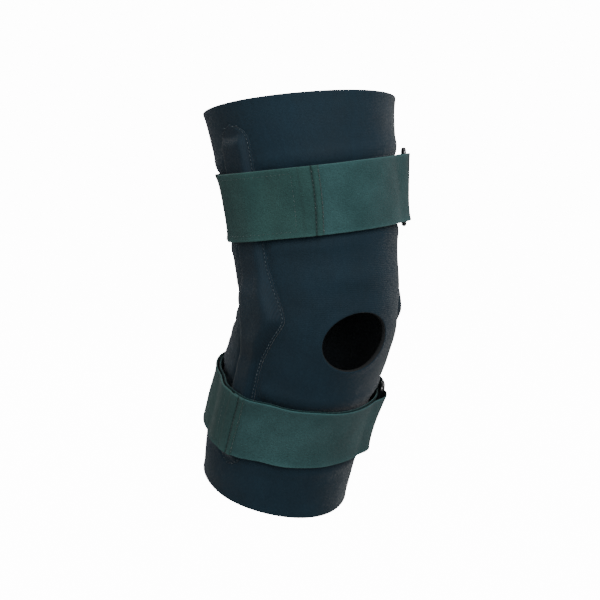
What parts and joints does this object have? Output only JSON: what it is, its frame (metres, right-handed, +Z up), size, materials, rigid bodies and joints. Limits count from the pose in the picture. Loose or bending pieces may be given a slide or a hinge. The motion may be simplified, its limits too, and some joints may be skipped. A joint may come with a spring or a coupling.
{
  "type": "hinged knee brace",
  "caption": "Pull-on hinged knee brace with an open patella, stitched side pockets over metal hinges and two wrap straps through rings.",
  "frame": {"origin": "on the knee hinge axis, midway between the two hinges", "axes": "+X along the hinge axis to the medial side, -Y to the front of the knee, +Z up along the leg"},
  "size_m": [0.1586, 0.1799, 0.3363],
  "materials": {
    "neoprene": "dark navy-black jersey laminated on neoprene",
    "pocket_cloth": "dark navy-black jersey laminated on neoprene, stitched",
    "strap_cloth": "brushed loop fabric, dull green-grey",
    "tab_cloth": "brushed loop fabric, dull green-grey",
    "hook_tape": "moulded hooks on woven tape",
    "webbing": "black woven webbing",
    "ring": "black glossy",
    "arm": "brushed",
    "hinge_cover": "black",
    "steel": "zinc plated",
    "washer": "natural nylon",
    "arm_tip": "dipped vinyl"
  },
  "bodies": {
    "thigh": {"sleeve_thigh_section": "neoprene", "sleeve_knee_section": "neoprene", "lateral_pocket_thigh_section": "pocket_cloth", "lateral_pocket_knee_section": "pocket_cloth", "medial_pocket_thigh_section": "pocket_cloth", "medial_pocket_knee_section": "pocket_cloth", "lateral_hinge_upper_arm": "arm", "lateral_hinge_upper_arm_tip": "arm_tip", "lateral_hinge_inner_cover": "hinge_cover", "lateral_hinge_outer_cover": "hinge_cover", "lateral_hinge_washer": "washer", "lateral_hinge_rivet": "steel", "lateral_hinge_stop_pin": "steel", "medial_hinge_upper_arm": "arm", "medial_hinge_upper_arm_tip": "arm_tip", "medial_hinge_inner_cover": "hinge_cover", "medial_hinge_outer_cover": "hinge_cover", "medial_hinge_washer": "washer", "medial_hinge_rivet": "steel", "medial_hinge_stop_pin": "steel", "thigh_strap": "strap_cloth", "thigh_ring_chafe": "webbing"},
    "calf": {"sleeve_calf_section": "neoprene", "lateral_pocket_calf_section": "pocket_cloth", "medial_pocket_calf_section": "pocket_cloth", "lateral_hinge_lower_arm": "arm", "lateral_hinge_lower_arm_tip": "arm_tip", "medial_hinge_lower_arm": "arm", "medial_hinge_lower_arm_tip": "arm_tip", "calf_strap": "strap_cloth", "calf_ring_chafe": "webbing"},
    "thigh_tab": {"thigh_pull_tab": "tab_cloth", "thigh_hook_patch": "hook_tape"},
    "calf_tab": {"calf_pull_tab": "tab_cloth", "calf_hook_patch": "hook_tape"},
    "thigh_ring": {"thigh_ring": "ring"},
    "calf_ring": {"calf_ring": "ring"}
  },
  "joints": [
    {"name": "knee_flexion", "type": "hinge", "parent": "thigh", "child": "calf", "pos_m": [0, 0, 0], "axis": [1, 0, 0], "range_deg": [-28, 57], "stiffness_Nm_per_rad": 1.5, "deforming": ["sleeve_knee_section", "lateral_pocket_knee_section", "medial_pocket_knee_section"]},
    {"name": "thigh_tab_peel", "type": "hinge", "parent": "thigh", "child": "thigh_tab", "pos_m": [-0.04959, -0.04046, 0.08889], "axis": [-0.0578, 0.0916, 0.9941], "range_deg": [0, 80]},
    {"name": "calf_tab_peel", "type": "hinge", "parent": "calf", "child": "calf_tab", "pos_m": [-0.07166, 0.02899, -0.08327], "axis": [0.0029, -0.3725, 0.928], "range_deg": [0, 80]},
    {"name": "thigh_ring_swivel", "type": "hinge", "parent": "thigh", "child": "thigh_ring", "pos_m": [0.05705, -0.03163, 0.09848], "axis": [-0.0167, 0.0009, 0.9999], "range_deg": [-4, 3]},
    {"name": "calf_ring_swivel", "type": "hinge", "parent": "calf", "child": "calf_ring", "pos_m": [0.05374, -0.00051, -0.08671], "axis": [0.0261, -0.3875, 0.9215], "range_deg": [-4, 3]}
  ]
}
